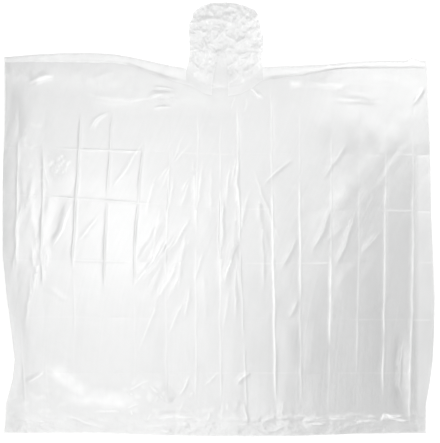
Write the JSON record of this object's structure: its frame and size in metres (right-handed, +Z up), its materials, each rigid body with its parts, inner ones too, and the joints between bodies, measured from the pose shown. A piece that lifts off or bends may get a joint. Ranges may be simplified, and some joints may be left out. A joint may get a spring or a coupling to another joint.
{
  "type": "disposable rain poncho, laid flat",
  "caption": "Clear film rain poncho laid flat, front up: wide rectangular body, front on back, folded shoulder seams, crumpled hood with face opening and packing creases.",
  "frame": {"origin": "centre of the laid poncho's footprint, on the surface that it lies on", "axes": "+Z up out of the surface, from the back to the front; +Y towards the hood; +X towards the right of the laid poncho as seen from above with the hood away"},
  "size_m": [1.184, 1.185, 0.0145],
  "materials": {
    "film": "clear film with a slight milky haze and soft gloss, creased from its packing",
    "seam_film": "clear film, doubled and heat sealed, a little whiter than one layer",
    "hood_film": "clear film, crumpled all over, with many small bright facets"
  },
  "bodies": {
    "root": {"back_panel": "film", "front_panel": "film", "shoulder_seam_left": "seam_film", "shoulder_seam_right": "seam_film", "hood_back": "hood_film", "hood_front_left": "hood_film", "hood_front_right": "hood_film"}
  },
  "joints": []
}
